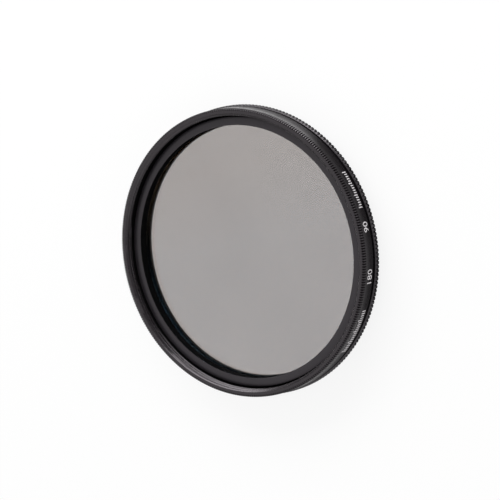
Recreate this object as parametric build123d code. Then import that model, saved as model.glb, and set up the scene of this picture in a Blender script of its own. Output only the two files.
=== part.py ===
from build123d import *
import os
from math import cos, pi, sin

# Screw-in circular polarising lens filter, 52 mm.
# Two turned rings hold a cemented optical pack. The rear ring screws into a lens and keeps
# still. The front ring carries the glass, turns endlessly in the rear ring, and has a thread
# of its own for a second filter or a hood. All sizes are in millimetres. The optical axis is
# +Z, towards the subject, and the filter lies on the end of its rear thread at Z = 0.

# Filter thread, the same size behind and in front
thread_diameter = 52.0
thread_pitch = 0.75
male_thread_allowance = 0.025
male_thread_length = 2.2
male_lead_extra = 0.05
male_relief_width = 0.35
male_relief_extra = 0.05

# Rear ring
flange_overhang = 0.25
flange_thickness = 0.98
flange_front_chamfer = 0.25
coarse_knurl_pitch = 0.761
coarse_knurl_depth = 0.19

# Front ring
front_wall = 1.0
front_chamfer_radial = 0.4
front_chamfer_axial = 0.25
lip_entry_margin = 0.05
recess_depth = 1.75
relief_above_face = 0.15
relief_below_face = 0.3
rear_edge_chamfer = 0.25
groove_gap = 0.42
sleeve_length = 2.23
sleeve_wall = 0.72
land_width = 0.9
ledge_thickness = 0.6

# Retaining ring
retaining_width = 1.45
retaining_thickness = 1.75
retaining_bevel = 0.1
retaining_collar_inset = 0.444
retaining_collar_height = 0.9
retaining_thread_inset = 0.32
seat_step_drop = 0.05

# Optical pack, from the front to the rear
front_glass_thickness = 0.9
polariser_thickness = 0.12
quarter_wave_thickness = 0.08
rear_glass_thickness = 0.9
glass_overlap = 0.5

# Snap ring of square wire that couples the two rings
wire_size = 0.6
wire_gap_degrees = 24.0

# Clearances
running_clearance = 0.05
bearing_clearance = 0.05
glass_clearance = 0.03
thread_clearance = 0.02
wire_clearance = 0.02
wire_side_play = 0.04
wire_inner_play = 0.06

# Thread radii of the basic 60 degree profile
thread_radius = thread_diameter / 2
internal_minor_radius = thread_radius - 0.5413 * thread_pitch
external_major_radius = thread_radius - male_thread_allowance
external_root_radius = external_major_radius - 0.6134 * thread_pitch

# Radii, from the retaining ring inwards and then out through the sleeve
collar_radius = internal_minor_radius - retaining_collar_inset
retaining_radius = internal_minor_radius - retaining_thread_inset
retaining_bore_radius = retaining_radius + thread_clearance
aperture_radius = collar_radius - retaining_width
glass_radius = aperture_radius + glass_overlap
seat_radius = glass_radius + glass_clearance
sleeve_radius = seat_radius + sleeve_wall
rear_bore_radius = sleeve_radius + running_clearance
land_radius = rear_bore_radius + land_width
front_radius = thread_radius + front_wall
flange_radius = front_radius + flange_overhang
lip_inner_radius = thread_radius + lip_entry_margin
lip_outer_radius = front_radius - front_chamfer_radial

# Heights, from the rear thread's end to the lip
flange_rear = male_thread_length
flange_front = flange_rear + flange_thickness
land_bottom = flange_front + bearing_clearance
front_ring_rear = flange_front + groove_gap
sleeve_bottom = flange_front - sleeve_length
seat_height = sleeve_bottom + ledge_thickness
pack_thickness = (front_glass_thickness + polariser_thickness
                  + quarter_wave_thickness + rear_glass_thickness)
glass_front = seat_height + pack_thickness
step_height = glass_front - seat_step_drop
retaining_face = glass_front + retaining_thickness
collar_bottom = retaining_face - retaining_collar_height
relief_bottom = retaining_face - relief_below_face
relief_top = retaining_face + relief_above_face
lip_height = retaining_face + recess_depth
thread_top = lip_height - (lip_inner_radius - internal_minor_radius)

# Snap ring seat, half in the flange and half in the sleeve
wire_height = (flange_rear + flange_front) / 2
wire_outer_radius = rear_bore_radius + wire_size / 2
wire_inner_radius = wire_outer_radius - wire_size
rear_groove_radius = wire_outer_radius + wire_clearance
front_groove_radius = wire_inner_radius - wire_inner_play
groove_bottom = wire_height - wire_size / 2 - wire_side_play
groove_top = wire_height + wire_size / 2 + wire_side_play


def turned(*outline):
    """A ring turned about the optical axis from a closed outline of (radius, height)."""
    section = make_face(Plane.XZ * Polyline(*outline, close=True))
    return revolve(section, Axis.Z)


def disc(radius, bottom, thickness):
    """A flat disc on the optical axis."""
    return turned((0, bottom), (radius, bottom), (radius, bottom + thickness), (0, bottom + thickness))


def knurl_outline(radius, depth, count, height):
    """The toothed outline of a straight knurl: crests and roots in turn."""
    outline = []
    for number in range(2 * count):
        reach = radius - depth if number % 2 else radius
        turn = pi * number / count
        outline.append((reach * cos(turn), reach * sin(turn), height))
    return make_face(Polyline(*outline, close=True))


def knurled_rim(radius, depth, pitch, bottom, top, front_chamfer):
    """A disc with a straight knurl, whose teeth slope in at the front edge."""
    count = round(2 * pi * radius / pitch)
    edge = top - front_chamfer
    slope = (radius - front_chamfer) / radius
    foot = knurl_outline(radius, depth, count, bottom)
    shoulder = knurl_outline(radius, depth, count, edge)
    crown = knurl_outline(radius * slope, depth * slope, count, top)
    return extrude(foot, edge - bottom) + loft([shoulder, crown], ruled=True)


def make_rear_ring():
    relief_radius = external_root_radius - male_relief_extra
    lead_radius = external_root_radius - male_lead_extra
    thread_end = flange_rear - male_relief_width
    rim = knurled_rim(
        flange_radius, coarse_knurl_depth, coarse_knurl_pitch,
        flange_rear, flange_front, flange_front_chamfer,
    )
    neck = turned(
        (0, 0),
        (lead_radius, 0),
        (external_major_radius, external_major_radius - lead_radius),
        (external_major_radius, thread_end),
        (relief_radius, thread_end),
        (relief_radius, flange_rear),
        (0, flange_rear),
    )
    bore = turned(
        (0, 0),
        (rear_bore_radius, 0),
        (rear_bore_radius, groove_bottom),
        (rear_groove_radius, groove_bottom),
        (rear_groove_radius, groove_top),
        (rear_bore_radius, groove_top),
        (rear_bore_radius, flange_front),
        (0, flange_front),
    )
    return rim + neck - bore


def make_front_ring():
    return turned(
        # Under the glass and up the inside to the lip
        (aperture_radius, sleeve_bottom),
        (aperture_radius, seat_height),
        (seat_radius, seat_height),
        (seat_radius, step_height),
        (retaining_bore_radius, step_height),
        (retaining_bore_radius, relief_bottom),
        (thread_radius, relief_bottom),
        (thread_radius, relief_top),
        (internal_minor_radius, relief_top),
        (internal_minor_radius, thread_top),
        (lip_inner_radius, lip_height),
        # Over the lip and down the outside to the sleeve
        (lip_outer_radius, lip_height),
        (front_radius, lip_height - front_chamfer_axial),
        (front_radius, front_ring_rear + rear_edge_chamfer),
        (front_radius - rear_edge_chamfer, front_ring_rear),
        (land_radius, front_ring_rear),
        (land_radius, land_bottom),
        (sleeve_radius, land_bottom),
        (sleeve_radius, groove_top),
        (front_groove_radius, groove_top),
        (front_groove_radius, groove_bottom),
        (sleeve_radius, groove_bottom),
        (sleeve_radius, sleeve_bottom),
    )


def make_retaining_ring():
    return turned(
        (aperture_radius, glass_front),
        (retaining_radius, glass_front),
        (retaining_radius, collar_bottom),
        (collar_radius, collar_bottom),
        (collar_radius, retaining_face),
        (aperture_radius + retaining_bevel, retaining_face),
        (aperture_radius, retaining_face - retaining_bevel),
    )


def make_snap_ring():
    middle = (wire_inner_radius + wire_outer_radius) / 2
    section = Plane.XZ * Pos(middle, wire_height) * Rectangle(wire_size, wire_size)
    wire = revolve(section, Axis.Z, 360 - wire_gap_degrees)
    return Rot(0, 0, wire_gap_degrees / 2) * wire


def make_optical_pack():
    """The cemented layers by name, each lying on the one behind it."""
    layers = (
        ("rear_glass", rear_glass_thickness),
        ("quarter_wave_film", quarter_wave_thickness),
        ("polarising_film", polariser_thickness),
        ("front_glass", front_glass_thickness),
    )
    pack = {}
    bottom = seat_height
    for name, thickness in layers:
        pack[name] = disc(glass_radius, bottom, thickness)
        bottom += thickness
    return pack


parts = {
    "rear_ring": make_rear_ring(),
    "front_ring": make_front_ring(),
    "retaining_ring": make_retaining_ring(),
    "snap_ring": make_snap_ring(),
    **make_optical_pack(),
}

os.makedirs("parts", exist_ok=True)
for name, shape in parts.items():
    export_step(shape, f"parts/{name}.step")
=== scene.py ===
from math import ceil, cos, pi, radians, sin

import bmesh
import bpy
from mathutils import Matrix, Vector


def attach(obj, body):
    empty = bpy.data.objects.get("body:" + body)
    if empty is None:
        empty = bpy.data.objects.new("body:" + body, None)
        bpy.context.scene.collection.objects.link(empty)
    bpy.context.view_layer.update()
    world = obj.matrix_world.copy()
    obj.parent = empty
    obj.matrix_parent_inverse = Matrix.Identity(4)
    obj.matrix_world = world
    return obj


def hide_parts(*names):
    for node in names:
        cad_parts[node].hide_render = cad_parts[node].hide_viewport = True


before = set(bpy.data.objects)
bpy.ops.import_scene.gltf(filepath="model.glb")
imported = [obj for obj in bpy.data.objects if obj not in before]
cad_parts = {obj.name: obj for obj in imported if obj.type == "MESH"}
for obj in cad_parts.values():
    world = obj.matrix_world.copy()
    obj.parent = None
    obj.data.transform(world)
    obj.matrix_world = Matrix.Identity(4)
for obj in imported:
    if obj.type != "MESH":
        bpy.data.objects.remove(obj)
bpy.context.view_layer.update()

# Sizes in millimetres, as the part has them
mm = 0.001
pitch = 0.75
flange_radius, flange_rear, flange_front = 27.25, 2.2, 3.18
coarse_teeth, coarse_depth, flange_chamfer = 225, 0.19, 0.25
bore_radius, bore_groove_radius = 25.0, 25.32
groove_low, groove_high = 2.35, 3.03
male_major, male_root, male_relief = 25.975, 25.515, 25.465
male_end, relief_end = 1.85, 2.2
band_radius, lip_outer, lip_inner = 27.0, 26.6, 26.05
lip_height, band_top, band_bottom = 7.05, 6.8, 3.85
fine_teeth, fine_length, fine_outer = 355, 0.55, 26.75
female_major, female_minor = 26.0, 25.594
relief_low, relief_high = 4.4, 5.45
entry_radius, entry_height = 25.93, 6.93
aperture, seat_radius, sleeve_radius = 23.7, 24.23, 24.95
sleeve_groove_radius, rear_chamfer = 24.64, 0.25
sleeve_bottom, seat_height, step_height = 0.95, 1.55, 3.5
land_radius, land_bottom, ring_rear = 25.9, 3.23, 3.6
retaining_bore, retaining_radius = 25.294, 25.274
retaining_bottom, retaining_face = 3.55, 5.3
glass_radius = 24.2
wire_inner, wire_outer, wire_low, wire_high = 24.7, 25.3, 2.39, 2.99
edge_round = 0.03

# Where the turns of the front thread start, as a share of a pitch
front_thread_phase = -0.44


# Mesh tools

def profile_wire(bm, points, rounded=(), radius=0.04, closed=False):
    """A wire in the XZ plane through (radius, height) points, with some of its corners rounded."""
    corners = [bm.verts.new((r * mm, 0, z * mm)) for r, z in points]
    pairs = list(zip(corners, corners[1:]))
    if closed:
        pairs.append((corners[-1], corners[0]))
    edges = [bm.edges.new(pair) for pair in pairs]
    picked = [corners[points.index(p)] for p in rounded]
    if picked:
        bmesh.ops.bevel(
            bm, geom=picked, offset=radius * mm, offset_type="OFFSET", segments=2,
            profile=0.5, affect="VERTICES", clamp_overlap=True, material=-1,
        )
    return [v for v in bm.verts if not v.link_faces], [e for e in bm.edges if not e.link_faces]


def turn(bm, wire, steps, rise=0.0, sectors=15):
    """Spins a wire once round the optical axis, rising by so many millimetres on the way.
    One sector is spun first and then repeated, and its seams are welded later."""
    verts, edges = wire
    old = set(bm.faces)
    bmesh.ops.spin(
        bm, geom=verts + edges, cent=(0, 0, 0), axis=(0, 0, 1), dvec=(0, 0, rise * mm / steps),
        angle=2 * pi / sectors, steps=steps // sectors,
        use_merge=False, use_normal_flip=False, use_duplicate=False,
    )
    faces = [f for f in bm.faces if f not in old]
    corners = list(dict.fromkeys(v for f in faces for v in f.verts))
    sides = list(dict.fromkeys(e for f in faces for e in f.edges))
    bmesh.ops.spin(
        bm, geom=corners + sides + faces, cent=(0, 0, 0), axis=(0, 0, 1),
        dvec=(0, 0, rise * mm / sectors), angle=2 * pi * (sectors - 1) / sectors,
        steps=sectors - 1, use_merge=False, use_normal_flip=False, use_duplicate=True,
    )


def thread_wall(bm, shape, low, high, steps, cut, phase=0.0):
    """One helical wall of a thread between two heights. shape holds (share of a pitch, radius),
    cut gives the radius that the end chamfers leave at a height, and phase is 0 to -1 turns."""
    turns = ceil((high - low) / pitch - phase) + 1
    foot = low + (phase - 1) * pitch
    points = [(r, foot + (k + share) * pitch) for k in range(turns) for share, r in shape]
    points.append((shape[0][1], foot + turns * pitch))
    old = set(bm.verts)
    turn(bm, profile_wire(bm, points), steps, rise=pitch)
    for v in bm.verts:
        if v not in old:
            r, z = v.co.xy.length / mm, v.co.z / mm
            z = min(max(z, low), high)
            r_new = cut(r, z)
            v.co.x *= r_new / r
            v.co.y *= r_new / r
            v.co.z = z * mm


def column_of(v, steps):
    """Which of the evenly spaced columns round the axis a vertex stands on."""
    turn_share = Vector((1, 0)).angle_signed(v.co.xy, 0.0) / (2 * pi)
    return round(-turn_share * steps) % steps


def close_up(bm, sharp_degrees=10):
    """Welds a turned mesh, turns its faces outwards and keeps its tool edges crisp."""
    bmesh.ops.remove_doubles(bm, verts=bm.verts, dist=2e-7)
    bmesh.ops.dissolve_degenerate(bm, dist=1e-8, edges=bm.edges)
    bmesh.ops.recalc_face_normals(bm, faces=bm.faces)
    for face in bm.faces:
        face.smooth = True
    for edge in bm.edges:
        if len(edge.link_faces) == 2:
            edge.smooth = edge.calc_face_angle(0) < radians(sharp_degrees)


def piece(name, bm, body, finish, node=None):
    """Makes a mesh object of a bmesh, gives it its finishes, ties it to its body and hides the node
    it stands for.
    """
    mesh = bpy.data.meshes.new(name)
    bm.to_mesh(mesh)
    bm.free()
    for material in finish if isinstance(finish, (list, tuple)) else [finish]:
        mesh.materials.append(material)
    made = bpy.data.objects.new(name, mesh)
    bpy.context.scene.collection.objects.link(made)
    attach(made, body)
    if node:
        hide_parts(node)
    return made


# Node tools

class Nodes:
    """A node tree with short ways to add a node and to link it."""

    def __init__(self, tree):
        self.tree = tree

    def add(self, kind, label=None, settings=None, **inputs):
        node = self.tree.nodes.new(kind)
        if label:
            node.label = label
        for key, value in (settings or {}).items():
            setattr(node, key, value)
        for key, value in inputs.items():
            self.feed(node, key.replace("_", " "), value)
        return node

    def feed(self, node, key, value):
        socket = node.inputs[int(key)] if key.isdigit() else node.inputs[key]
        if isinstance(value, bpy.types.NodeSocket):
            self.tree.links.new(value, socket)
        else:
            socket.default_value = value

    def math(self, operation, a, b=0.0, c=0.0, clamp=False):
        node = self.tree.nodes.new("ShaderNodeMath")
        node.operation = operation
        node.use_clamp = clamp
        for place, value in enumerate((a, b, c)):
            self.feed(node, str(place), value)
        return node.outputs[0]

    def span(self, value, low, high, to_low=0.0, to_high=1.0):
        node = self.tree.nodes.new("ShaderNodeMapRange")
        for place, item in enumerate((value, low, high, to_low, to_high)):
            self.feed(node, str(place), item)
        return node.outputs[0]


def new_group(name, inputs, outputs):
    tree = bpy.data.node_groups.new(name, "ShaderNodeTree")
    for side, items in (("INPUT", inputs), ("OUTPUT", outputs)):
        for label, kind in items:
            tree.interface.new_socket(label, in_out=side, socket_type="NodeSocket" + kind)
    nodes = Nodes(tree)
    return nodes, nodes.add("NodeGroupInput").outputs, nodes.add("NodeGroupOutput")


def new_finish(name):
    """A material with its Principled shader, and its object coordinates."""
    material = bpy.data.materials.new(name)
    material.use_nodes = True
    nodes = Nodes(material.node_tree)
    shader = material.node_tree.nodes["Principled BSDF"]
    place = nodes.add("ShaderNodeTexCoord").outputs["Object"]
    return material, nodes, shader, place


def use_group(nodes, group, **inputs):
    return nodes.add("ShaderNodeGroup", settings={"node_tree": group.tree}, **inputs).outputs


# Effects shared by the finishes

def make_anodised_grain():
    """Dyed oxide over a fine blasted surface: slow mottling, fine grain and its height."""
    nodes, given, out = new_group(
        "anodised_grain",
        [("Place", "Vector"), ("Dye", "Color"), ("Mottle", "Float"), ("Roughness", "Float")],
        [("Colour", "Color"), ("Roughness", "Float"), ("Height", "Float")],
    )
    slow = nodes.add(
        "ShaderNodeTexNoise", Vector=given["Place"], Scale=420.0, Detail=3.0, Roughness=0.6)
    fine = nodes.add(
        "ShaderNodeTexNoise", Vector=given["Place"], Scale=15000.0, Detail=2.0, Roughness=0.6)
    slow_offset = nodes.math("SUBTRACT", slow.outputs["Fac"], 0.5)
    fine_offset = nodes.math("SUBTRACT", fine.outputs["Fac"], 0.5)
    both = nodes.math("MULTIPLY_ADD", fine_offset, 0.5, slow_offset)
    gain = nodes.math("MULTIPLY_ADD", both, given["Mottle"], 1.0)
    colour = nodes.add("ShaderNodeVectorMath", settings={"operation": "SCALE"}, Scale=gain)
    nodes.feed(colour, "0", given["Dye"])
    nodes.feed(out, "Colour", colour.outputs[0])
    nodes.feed(out, "Roughness", nodes.math("MULTIPLY_ADD", both, 0.16, given["Roughness"]))
    nodes.feed(out, "Height", fine.outputs["Fac"])
    return nodes


def make_turned_place():
    """Radius and height on the turned part, in millimetres."""
    nodes, given, out = new_group(
        "turned_place", [("Place", "Vector")], [("Radius", "Float"), ("Height", "Float")],
    )
    split = nodes.add("ShaderNodeSeparateXYZ", Vector=given["Place"])
    square = nodes.math("MULTIPLY", split.outputs["X"], split.outputs["X"])
    square = nodes.math("MULTIPLY_ADD", split.outputs["Y"], split.outputs["Y"], square)
    nodes.feed(out, "Radius", nodes.math("DIVIDE", nodes.math("SQRT", square), mm))
    nodes.feed(out, "Height", nodes.math("DIVIDE", split.outputs["Z"], mm))
    return nodes


anodised_grain = make_anodised_grain()
turned_place = make_turned_place()


# Finishes

def anodised_finish(name, dye, roughness, wear_and_highlight_from=None, wear_and_highlight_to=None, gloss=0.7):
    """Black anodised aluminium. Crests between two radii are worn a little paler in patches: wear,
    and also a painted edge highlight.
    """
    material, nodes, shader, place = new_finish(name)
    grain = use_group(
        nodes, anodised_grain, Place=place, Dye=(*dye, 1), Mottle=0.5, Roughness=roughness,
    )
    colour = grain["Colour"]
    # Paler crests: wear, and also a painted edge highlight.
    if wear_and_highlight_from:
        where = use_group(nodes, turned_place, Place=place)
        wear_and_highlight = nodes.span(where["Radius"], wear_and_highlight_from, wear_and_highlight_to)
        patchy = nodes.add("ShaderNodeTexNoise", Vector=place, Scale=900.0, Detail=2.0)
        patches = nodes.span(patchy.outputs["Fac"], 0.35, 0.75)
        wear_and_highlight = nodes.math("MULTIPLY", wear_and_highlight, patches, clamp=True)
        mix = nodes.add("ShaderNodeMix", settings={"data_type": "RGBA"})
        nodes.feed(mix, "0", wear_and_highlight)
        nodes.feed(mix, "6", colour)
        nodes.feed(mix, "7", (0.075, 0.072, 0.074, 1))
        colour = mix.outputs[2]
    bump = nodes.add("ShaderNodeBump", Height=grain["Height"], Strength=0.35, Distance=0.000006)
    nodes.feed(shader, "Base Color", colour)
    nodes.feed(shader, "Roughness", grain["Roughness"])
    nodes.feed(shader, "Normal", bump.outputs[0])
    shader.inputs["Specular IOR Level"].default_value = gloss
    shader.inputs["Specular Tint"].default_value = (1.0, 0.93, 0.985, 1)
    return material


def dead_black_finish():
    """Dull black paint that keeps stray light off the glass; in the thread relief groove the same
    black is painted shade.
    """
    material, nodes, shader, place = new_finish("black_paint_and_painted_shade_paint")
    grit = nodes.add("ShaderNodeTexNoise", Vector=place, Scale=5000.0, Detail=2.0)
    shade = nodes.add("ShaderNodeVectorMath", settings={"operation": "SCALE"},
                      Scale=nodes.span(grit.outputs["Fac"], 0.3, 0.7, 0.6, 1.4))
    nodes.feed(shade, "0", (0.0022, 0.0021, 0.0023))
    nodes.feed(shader, "Base Color", shade.outputs[0])
    nodes.feed(shader, "Roughness", nodes.span(grit.outputs["Fac"], 0.3, 0.7, 0.8, 0.95))
    shader.inputs["Specular IOR Level"].default_value = 0.05
    return material


def glass_finish(name):
    """Coated optical glass. The tint of its faint reflection is a painted sheen, going from teal to
    brown across it.
    """
    material, nodes, shader, place = new_finish(name)
    uneven = nodes.add("ShaderNodeTexNoise", Vector=place, Scale=60.0, Detail=1.0)
    clear = nodes.add("ShaderNodeVectorMath", settings={"operation": "SCALE"},
                      Scale=nodes.span(uneven.outputs["Fac"], 0.2, 0.8, 0.99, 1.0))
    nodes.feed(clear, "0", (0.99, 1.0, 0.995))
    nodes.feed(shader, "Base Color", clear.outputs[0])
    # Painted sheen: the reflection tint is set by place, teal at one side and brown at the other.
    across = nodes.add("ShaderNodeSeparateXYZ", Vector=place).outputs["X"]
    painted_sheen_tint = nodes.add("ShaderNodeMix", settings={"data_type": "RGBA"})
    nodes.feed(painted_sheen_tint, "0", nodes.span(across, 0.002, 0.016))
    nodes.feed(painted_sheen_tint, "6", (0.35, 0.72, 1.0, 1))
    nodes.feed(painted_sheen_tint, "7", (0.6, 0.42, 0.28, 1))
    nodes.feed(shader, "Specular Tint", painted_sheen_tint.outputs[2])
    shader.inputs["Roughness"].default_value = 0.0
    shader.inputs["Transmission Weight"].default_value = 1.0
    shader.inputs["IOR"].default_value = 1.5
    shader.inputs["Specular IOR Level"].default_value = 0.08
    return material


def film_finish(name, tint):
    """A dyed film in optical cement, so with no surface reflection of its own."""
    material, nodes, shader, place = new_finish(name)
    uneven = nodes.add("ShaderNodeTexNoise", Vector=place, Scale=45.0, Detail=1.0)
    gain = nodes.span(uneven.outputs["Fac"], 0.2, 0.8, 0.985, 1.015)
    colour = nodes.add("ShaderNodeVectorMath", settings={"operation": "SCALE"}, Scale=gain)
    nodes.feed(colour, "0", tint)
    nodes.feed(shader, "Base Color", colour.outputs[0])
    shader.inputs["Roughness"].default_value = 0.0
    shader.inputs["Transmission Weight"].default_value = 1.0
    shader.inputs["IOR"].default_value = 1.0
    return material


def ground_edge_finish(name, gain):
    """The ground rim of a coated disc. Its tint, going from teal over black to brown across it, is a
    painted reflection of the coated faces' sheen.
    """
    material, nodes, shader, place = new_finish(name)
    across = nodes.add("ShaderNodeSeparateXYZ", Vector=place).outputs["X"]
    # Painted reflection: teal, black and brown laid on by place across the disc.
    tint = nodes.add("ShaderNodeValToRGB", Fac=nodes.span(across, -0.022, 0.022))
    stops = tint.color_ramp.elements
    stops[0].position, stops[0].color = 0.0, (0.13, 0.16, 0.18, 1)
    stops[1].position, stops[1].color = 1.0, (0.13, 0.095, 0.06, 1)
    for position, colour in ((0.25, (0.05, 0.11, 0.15, 1)), (0.62, (0.012, 0.014, 0.015, 1))):
        stops.new(position).color = colour
    grit = nodes.add("ShaderNodeTexNoise", Vector=place, Scale=6000.0, Detail=2.0)
    shade = nodes.add("ShaderNodeVectorMath", settings={"operation": "SCALE"},
                      Scale=nodes.span(grit.outputs["Fac"], 0.3, 0.7, 0.7 * gain, 1.3 * gain))
    nodes.feed(shade, "0", tint.outputs["Color"])
    nodes.feed(shader, "Base Color", shade.outputs[0])
    nodes.feed(shader, "Roughness", nodes.span(grit.outputs["Fac"], 0.3, 0.7, 0.6, 0.8))
    return material


def print_finish():
    """White screen-printed ink, a little uneven."""
    material, nodes, shader, place = new_finish("white_ink")
    cover = nodes.add("ShaderNodeTexNoise", Vector=place, Scale=5000.0, Detail=2.0)
    shade = nodes.add("ShaderNodeVectorMath", settings={"operation": "SCALE"},
                      Scale=nodes.span(cover.outputs["Fac"], 0.25, 0.75, 0.86, 1.06))
    nodes.feed(shade, "0", (0.78, 0.75, 0.765))
    nodes.feed(shader, "Base Color", shade.outputs[0])
    nodes.feed(shader, "Roughness", nodes.span(cover.outputs["Fac"], 0.25, 0.75, 0.5, 0.7))
    return material


def spring_finish():
    """Bright drawn spring wire with fine die lines."""
    material, nodes, shader, place = new_finish("drawn_spring_wire")
    where = use_group(nodes, turned_place, Place=place)
    lines = nodes.add(
        "ShaderNodeTexNoise", settings={"noise_dimensions": "2D"}, Scale=40.0, Detail=2.0)
    spot = nodes.add("ShaderNodeCombineXYZ", X=where["Radius"], Y=where["Height"])
    nodes.feed(lines, "Vector", spot.outputs[0])
    shade = nodes.add("ShaderNodeVectorMath", settings={"operation": "SCALE"},
                      Scale=nodes.span(lines.outputs["Fac"], 0.3, 0.7, 0.75, 1.1))
    nodes.feed(shade, "0", (0.52, 0.51, 0.49))
    nodes.feed(shader, "Base Color", shade.outputs[0])
    nodes.feed(shader, "Roughness", nodes.span(lines.outputs["Fac"], 0.3, 0.7, 0.25, 0.45))
    shader.inputs["Metallic"].default_value = 1.0
    return material


black_front = anodised_finish("anodised_black_front", (0.0065, 0.0047, 0.0060), 0.28)
# A duller, less glossy copy of the front finish: painted shade in the knurl slots.
slot_finish_with_painted_shade = anodised_finish("anodised_slot_finish_with_painted_shade", (0.0065, 0.0047, 0.0060), 0.42, gloss=0.3)
black_rear = anodised_finish("anodised_black_rear", (0.0065, 0.0054, 0.0066), 0.30, 27.1, 27.3)
black_retainer = anodised_finish(
    "anodised_black_retainer", (0.0165, 0.0145, 0.017), 0.34, gloss=0.5)
black_paint_and_painted_shade = dead_black_finish()
coated_glass = glass_finish("coated_glass")
grey_polariser = film_finish("grey_polariser", (0.375, 0.345, 0.345))
clear_retarder = film_finish("clear_retarder", (0.97, 0.97, 0.96))
# The rims' colour ramp is a painted reflection of the coated faces' sheen.
glass_rim = ground_edge_finish("ground_glass_rim", 3.0)
film_rim = ground_edge_finish("film_rim", 0.5)
white_ink = print_finish()
spring_wire = spring_finish()


# Rings

def make_rear_ring():
    steps = 4 * coarse_teeth
    root = flange_radius - coarse_depth
    bm = bmesh.new()
    points = [
        (male_relief, 0), (bore_radius, 0), (bore_radius, groove_low),
        (bore_groove_radius, groove_low), (bore_groove_radius, groove_high),
        (bore_radius, groove_high), (bore_radius, flange_front),
        (flange_radius - flange_chamfer, flange_front),
        (root, flange_front - flange_chamfer + coarse_depth),
        (flange_radius, flange_front - flange_chamfer), (flange_radius, flange_rear),
        (male_relief, relief_end), (male_relief, male_end),
    ]
    rounded = [points[k] for k in (1, 7, 9, 10)]
    turn(bm, profile_wire(bm, points, rounded, edge_round), steps)
    shape = [
        (0.0, male_root), (0.25, male_root), (0.354, male_root + 0.153), (0.458, male_root + 0.307),
        (0.5625, male_major), (0.6875, male_major), (0.792, male_major - 0.153),
        (0.896, male_major - 0.307),
    ]
    thread_wall(bm, shape, 0.0, male_end, steps, lambda r, z: min(
        r, male_relief + z, male_relief + 3 * (male_end - z)))
    for v in bm.verts:
        reach = v.co.xy.length / mm
        if reach > root and column_of(v, steps) % 4 == 2:
            v.co.x *= root / reach
            v.co.y *= root / reach
    close_up(bm)
    return piece("rear_ring_turned", bm, "rear", black_rear, "rear_ring")


def make_front_ring():
    steps = 3 * fine_teeth
    widening = 0.2 * pi / steps
    slot_start = Vector((lip_outer - 0.04, lip_height))
    slot_end = Vector((band_radius, band_top - fine_length))
    slot_out = Vector((slot_start.y - slot_end.y, slot_end.x - slot_start.x)).normalized()
    bm = bmesh.new()
    points = [
        (lip_inner, lip_height), tuple(slot_start), (fine_outer, lip_height),
        (band_radius, band_top), tuple(slot_end), (band_radius, band_bottom),
        (band_radius - rear_chamfer, ring_rear), (land_radius, ring_rear), (land_radius, land_bottom),
        (sleeve_radius, land_bottom), (sleeve_radius, groove_high),
        (sleeve_groove_radius, groove_high), (sleeve_groove_radius, groove_low),
        (sleeve_radius, groove_low), (sleeve_radius, sleeve_bottom),
        (aperture, sleeve_bottom), (aperture, seat_height), (seat_radius, seat_height),
        (seat_radius, step_height), (retaining_bore, step_height), (retaining_bore, relief_low),
        (female_major, relief_high),
    ]
    rounded = [points[k] for k in (2, 3, 5, 6, 14, 15, 16)]
    turn(bm, profile_wire(bm, points, rounded, edge_round), steps)
    shape = [
        (0.0, female_minor), (0.142, female_minor), (0.206, female_minor + 0.0084),
        (0.262, female_minor + 0.0328), (0.304, female_minor + 0.07),
        (0.433, female_minor + 0.238), (0.5625, female_major),
        (0.6875, female_major), (0.792, female_major - 0.135), (0.896, female_major - 0.271),
    ]
    thread_wall(bm, shape, relief_high, lip_height, steps, lambda r, z: max(
        r, min(lip_inner - (lip_height - z), entry_radius - 3 * (entry_height - z)),
        female_major - 6 * (z - relief_high)), phase=front_thread_phase)
    for v in bm.verts:
        spot = Vector((v.co.xy.length / mm, v.co.z / mm))
        above = (spot - slot_start).dot(slot_out)
        if spot.x > lip_inner + 0.1 and above > 1e-5:
            place = column_of(v, steps) % 3
            if place == 0:
                moved = spot - slot_out * above
                v.co.x *= moved.x / spot.x
                v.co.y *= moved.x / spot.x
                v.co.z = moved.y * mm
            else:
                v.co.rotate(Matrix.Rotation(-widening if place == 1 else widening, 3, "Z"))
    close_up(bm, 25)
    for face in bm.faces:
        middle = face.calc_center_median()
        reach, height = middle.xy.length / mm, middle.z / mm
        along = Vector((-middle.y, middle.x, 0)).normalized()
        # Faces of the thread relief groove take the dull black, as painted shade in the groove.
        in_relief = relief_low < height < relief_high and reach < female_major
        # Knurl slot faces take the duller finish, as painted shade in the slots.
        in_slot = reach > slot_start.x and abs(face.normal.dot(along)) > 0.2
        face.material_index = 2 if in_slot else 1 if in_relief else 0
    return piece(
        "front_ring_turned", bm, "front", [black_front, black_paint_and_painted_shade, slot_finish_with_painted_shade],
        "front_ring",
    )


def make_retaining_ring():
    bm = bmesh.new()
    crown = ((0, 0.12), (0.02, 0.09), (0.2, 0.045), (0.45, 0.01), (0.7, 0))
    points = [
        (aperture, retaining_bottom), (retaining_radius, retaining_bottom),
        *((retaining_radius - inset, retaining_face - drop) for inset, drop in crown),
        (aperture, retaining_face),
    ]
    turn(bm, profile_wire(bm, points, points[-1:], 0.05, closed=True), 720)
    close_up(bm, 25)
    for face in bm.faces:
        inner = all(v.co.xy.length / mm < aperture + 0.01 for v in face.verts)
        face.material_index = 1 if inner else 0
    return piece(
        "retaining_ring_turned", bm, "front", [black_retainer, black_paint_and_painted_shade],
        "retaining_ring",
    )


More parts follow.
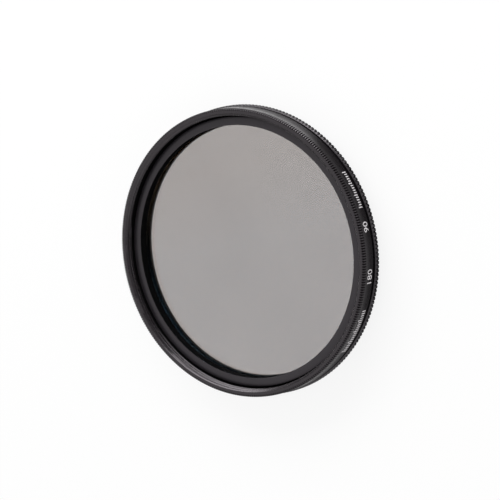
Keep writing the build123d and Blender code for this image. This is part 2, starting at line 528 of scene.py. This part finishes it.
def make_snap_ring():
    bm = bmesh.new()
    points = [
        (wire_inner, wire_low), (wire_outer, wire_low),
        (wire_outer, wire_high), (wire_inner, wire_high),
    ]
    verts, edges = profile_wire(bm, points, points, 0.08, closed=True)
    bmesh.ops.rotate(bm, verts=verts, cent=(0, 0, 0), matrix=Matrix.Rotation(radians(12), 3, "Z"))
    bmesh.ops.spin(
        bm, geom=verts + edges, cent=(0, 0, 0), axis=(0, 0, 1), dvec=(0, 0, 0),
        angle=radians(336), steps=336, use_merge=False, use_normal_flip=False, use_duplicate=False,
    )
    bmesh.ops.holes_fill(bm, edges=[e for e in bm.edges if e.is_boundary], sides=0)
    close_up(bm, 30)
    return piece("snap_ring_wire", bm, "rear", spring_wire, "snap_ring")


# Optical pack

def make_disc(name, low, high, finish, node, bevel, margin=0):
    """A polished disc with a ground rim, and at the rear a ground margin where it is seated."""
    bm = bmesh.new()
    bmesh.ops.create_circle(bm, cap_ends=True, radius=glass_radius * mm, segments=144)
    bmesh.ops.translate(bm, verts=bm.verts, vec=(0, 0, low * mm))
    grown = bmesh.ops.extrude_face_region(bm, geom=bm.faces[:], use_keep_orig=True)
    raised = [item for item in grown["geom"] if isinstance(item, bmesh.types.BMVert)]
    bmesh.ops.translate(bm, verts=raised, vec=(0, 0, (high - low) * mm))
    if bevel:
        rims = [e for e in bm.edges if abs(e.verts[0].co.z - e.verts[1].co.z) < 1e-9]
        bmesh.ops.bevel(
            bm, geom=rims, offset=bevel * mm, offset_type="OFFSET", segments=1,
            profile=0.5, affect="EDGES", clamp_overlap=True, material=-1,
        )
    ground = []
    if margin:
        seat = [f for f in bm.faces if abs(f.calc_center_median().z - low * mm) < 1e-9]
        ground = bmesh.ops.inset_region(
            bm, faces=seat, thickness=margin * mm, use_boundary=True, use_even_offset=True)["faces"]
    for face in bm.faces:
        face.normal_update()
        face.material_index = 1 if face in ground or abs(face.normal.z) < 0.99 else 0
    bmesh.ops.poke(bm, faces=[f for f in bm.faces if len(f.verts) > 4])
    close_up(bm)
    return piece(name, bm, "front", finish, node)


def make_optical_pack():
    make_disc("rear_glass_disc", 1.553, 2.448, [coated_glass, glass_rim],
              "rear_glass", 0.08, margin=0.4)
    make_disc("quarter_wave_layer", 2.452, 2.528, [clear_retarder, film_rim],
              "quarter_wave_film", 0)
    make_disc("polarising_layer", 2.532, 2.648, [grey_polariser, film_rim],
              "polarising_film", 0)
    make_disc("front_glass_disc", 2.652, 3.547, [coated_glass, glass_rim],
              "front_glass", 0.08)


# Dial print on the band. Degrees run the way a clock's do not, from the side nearest the viewer.

def wrap_on_band(bm, at_degrees, base, lift=0.008):
    """Bends a flat drawing, in millimetres, round the band with its foot at a height."""
    reach = band_radius + lift
    for v in bm.verts:
        angle = radians(at_degrees - 90) + v.co.x / reach
        v.co = Vector((reach * cos(angle), reach * sin(angle), base + v.co.y)) * mm


def number_drawing(text, height):
    """A number as a flat mesh, centred, of that height in millimetres."""
    curve = bpy.data.curves.new("number", "FONT")
    curve.body = text
    curve.resolution_u = 4
    holder = bpy.data.objects.new("number", curve)
    bpy.context.scene.collection.objects.link(holder)
    bpy.context.view_layer.update()
    mesh = bpy.data.meshes.new_from_object(holder)
    bm = bmesh.new()
    bm.from_mesh(mesh)
    bpy.data.objects.remove(holder)
    bpy.data.meshes.remove(mesh)
    bpy.data.curves.remove(curve)
    xs = [v.co.x for v in bm.verts]
    ys = [v.co.y for v in bm.verts]
    scale = height / (max(ys) - min(ys))
    for v in bm.verts:
        v.co.x = (v.co.x - (min(xs) + max(xs)) / 2) * scale
        v.co.y = (v.co.y - min(ys)) * scale
    return bm


def tick_drawing(width, height):
    bm = bmesh.new()
    bmesh.ops.create_grid(bm, x_segments=1, y_segments=1, size=0.5)
    bmesh.ops.scale(bm, vec=(width, height, 1), verts=bm.verts)
    bmesh.ops.translate(bm, vec=(0, height / 2, 0), verts=bm.verts)
    return bm


def make_dial():
    drawings = []
    for k in range(20):
        drawings.append((tick_drawing(0.2, 1.45 if k % 5 == 0 else 1.05), -55 + k, 4.27))
    drawings.append((number_drawing("180", 1.45), -21.8, 4.27))
    drawings.append((number_drawing("90", 1.45), -2.5, 4.25))
    for k in range(16):
        drawings.append((tick_drawing(0.2, 1.1 if k % 5 == 0 else 0.8), 5.3 + k, 4.25))
    whole = bmesh.new()
    for drawing, degrees, base in drawings:
        wrap_on_band(drawing, degrees, base)
        flat = bpy.data.meshes.new("drawing")
        drawing.to_mesh(flat)
        drawing.free()
        whole.from_mesh(flat)
        bpy.data.meshes.remove(flat)
    bmesh.ops.remove_doubles(whole, verts=whole.verts, dist=1e-8)
    for face in whole.faces:
        outward = Vector((*face.calc_center_median().xy, 0))
        face.normal_update()
        if face.normal.dot(outward) < 0:
            face.normal_flip()
    bmesh.ops.solidify(whole, geom=whole.faces[:], thickness=0.016 * mm)
    bmesh.ops.recalc_face_normals(whole, faces=whole.faces)
    return piece("dial_print", whole, "front", white_ink)


make_rear_ring()
make_front_ring()
make_retaining_ring()
make_snap_ring()
make_optical_pack()
make_dial()


# Floor, light and camera. A glow is a direction, where it starts and is full, and its gain.

# Painted pools of light on the floor, seen only in reflections.
floor_glows = (
    ((0.914, -0.407, 0), 0.87, 0.98, 1.9), ((-0.914, -0.407, 0), 0.87, 0.98, 0.6),
    ((-0.4, -0.917, 0), 0.86, 0.99, 0.14),
)
sky_glows = (
    ((0, 0.575, 0.818), 0.5, 0.95, 0.4),
    ((0, -0.93, 0.36), 0.75, 0.97, 0.5),
    ((0, -0.98, 0.17), 0.88, 0.99, 0.8),
    ((-0.8, -0.1, 0.6), 0.6, 0.95, 0.3),
    ((0, -0.575, 0.818), 0.82, 0.97, -0.37),
)


def add_glows(nodes, way, level, glows):
    """A level with soft glows added about some directions."""
    for direction, low, high, gain in glows:
        facing = nodes.add("ShaderNodeVectorMath", settings={"operation": "DOT_PRODUCT"})
        nodes.feed(facing, "0", way)
        nodes.feed(facing, "1", Vector(direction).normalized())
        lobe = nodes.span(facing.outputs["Value"], low, high)
        lobe.node.interpolation_type = "SMOOTHSTEP"
        level = nodes.math("MULTIPLY_ADD", lobe, gain, level)
    return level


def make_floor():
    """A white floor that keeps a faint shadow. Gloss sees painted light and shade on it instead: a
    painted shadow near the part, painted pools of light from the glows, and painted white under the
    glass.
    """
    bm = bmesh.new()
    bmesh.ops.create_circle(bm, cap_ends=True, radius=3.0, segments=64)
    bmesh.ops.translate(bm, verts=bm.verts, vec=(0, 0, -0.02 * mm))
    mesh = bpy.data.meshes.new("floor")
    bm.to_mesh(mesh)
    bm.free()
    floor = bpy.data.objects.new("floor", mesh)
    bpy.context.scene.collection.objects.link(floor)
    material = bpy.data.materials.new("white_floor")
    material.use_nodes = True
    nodes = Nodes(material.node_tree)
    tree = material.node_tree
    tree.nodes.remove(tree.nodes["Principled BSDF"])
    seen = nodes.add("ShaderNodeLightPath").outputs
    paper = nodes.add("ShaderNodeBsdfDiffuse", Color=(0.82, 0.82, 0.82, 1))
    white = nodes.add("ShaderNodeEmission", Color=(1, 1, 1, 1), Strength=1.02)
    spot = nodes.add("ShaderNodeTexCoord").outputs["Object"]
    outward = nodes.add("ShaderNodeVectorMath", settings={"operation": "NORMALIZE"})
    nodes.feed(outward, "0", spot)
    level = add_glows(nodes, outward.outputs[0], 0.42, floor_glows)
    narrowed = nodes.add("ShaderNodeVectorMath", settings={"operation": "MULTIPLY"})
    nodes.feed(narrowed, "0", spot)
    nodes.feed(narrowed, "1", (0.98, 1, 1))
    reach = nodes.add("ShaderNodeVectorMath", settings={"operation": "DISTANCE"})
    nodes.feed(reach, "0", narrowed.outputs[0])
    nodes.feed(reach, "1", (0, -0.0024, 0))
    # Painted contact shadow round the part, set towards the near side, seen only in reflections.
    painted_contact_shadow = nodes.span(reach.outputs["Value"], 0.0275, 0.0283, 0.12, 1.0)
    level = nodes.math("MULTIPLY", level, painted_contact_shadow)
    inside = nodes.add("ShaderNodeVectorMath", settings={"operation": "LENGTH"})
    nodes.feed(inside, "0", spot)
    # Painted white light under the glass, where the floor is in shade, seen only in reflections.
    painted_light_under_glass = nodes.span(inside.outputs["Value"], 0.0235, 0.0255, 1.0, 0.0)
    level = nodes.math("MAXIMUM", level, painted_light_under_glass)
    mirrored = nodes.add("ShaderNodeEmission", Color=(1, 1, 1, 1), Strength=level)
    dim = nodes.add("ShaderNodeMixShader")
    nodes.feed(dim, "0", seen["Is Glossy Ray"])
    nodes.feed(dim, "1", paper.outputs[0])
    nodes.feed(dim, "2", mirrored.outputs[0])
    share = nodes.math("MULTIPLY", seen["Is Camera Ray"], 0.85)
    bounced = nodes.math("ADD", seen["Glossy Depth"], seen["Diffuse Depth"])
    through = nodes.math("SUBTRACT", seen["Is Transmission Ray"], bounced, clamp=True)
    share = nodes.math("MAXIMUM", share, through)
    mix = nodes.add("ShaderNodeMixShader")
    nodes.feed(mix, "0", share)
    nodes.feed(mix, "1", dim.outputs[0])
    nodes.feed(mix, "2", white.outputs[0])
    nodes.feed(tree.nodes["Material Output"], "Surface", mix.outputs[0])
    mesh.materials.append(material)


def make_world():
    """Soft light all round: brighter over the far side, dark about the camera."""
    world = bpy.data.worlds.new("studio")
    bpy.context.scene.world = world
    world.use_nodes = True
    nodes = Nodes(world.node_tree)
    seen = nodes.add("ShaderNodeLightPath").outputs
    way = nodes.add("ShaderNodeTexCoord").outputs["Generated"]
    level = add_glows(nodes, way, 0.4, sky_glows)
    background = world.node_tree.nodes["Background"]
    nodes.feed(background, "Strength", nodes.math("MAXIMUM", level, seen["Is Camera Ray"]))
    background.inputs["Color"].default_value = (1, 1, 1, 1)


def make_lamp(name, direction, distance, size, power):
    lamp = bpy.data.lights.new(name, "AREA")
    lamp.shape = "RECTANGLE"
    lamp.size, lamp.size_y = size
    lamp.energy = power
    holder = bpy.data.objects.new(name, lamp)
    bpy.context.scene.collection.objects.link(holder)
    place = Vector(direction).normalized()
    holder.location = place * distance
    holder.rotation_euler = place.to_track_quat("Z", "Y").to_euler()


def make_camera():
    tilt, roll = radians(35.12), radians(14.86)
    near, across, up = Vector((0, -1, 0)), Vector((1, 0, 0)), Vector((0, 0, 1))
    back = near * sin(tilt) + up * cos(tilt)
    level = near * cos(tilt) - up * sin(tilt)
    right = level * cos(roll) - across * sin(roll)
    top = level * sin(roll) + across * cos(roll)
    camera = bpy.data.cameras.new("camera")
    camera.lens = 216
    camera.sensor_width = 36
    camera.shift_x, camera.shift_y = 10.2 / 500, 3.55 / 500
    camera.clip_start, camera.clip_end = 0.01, 20
    holder = bpy.data.objects.new("camera", camera)
    bpy.context.scene.collection.objects.link(holder)
    aim = Vector((0, 0, 6.895 * mm))
    axes = Matrix((right, top, back)).transposed().to_4x4()
    holder.matrix_world = Matrix.Translation(aim + back * 0.5547) @ axes
    bpy.context.scene.camera = holder


make_floor()
make_world()
make_lamp("key", (0.857, -0.03, 0.515), 0.6, (0.72, 0.3), 3.8)
make_camera()
bpy.context.scene.view_settings.view_transform = "Standard"
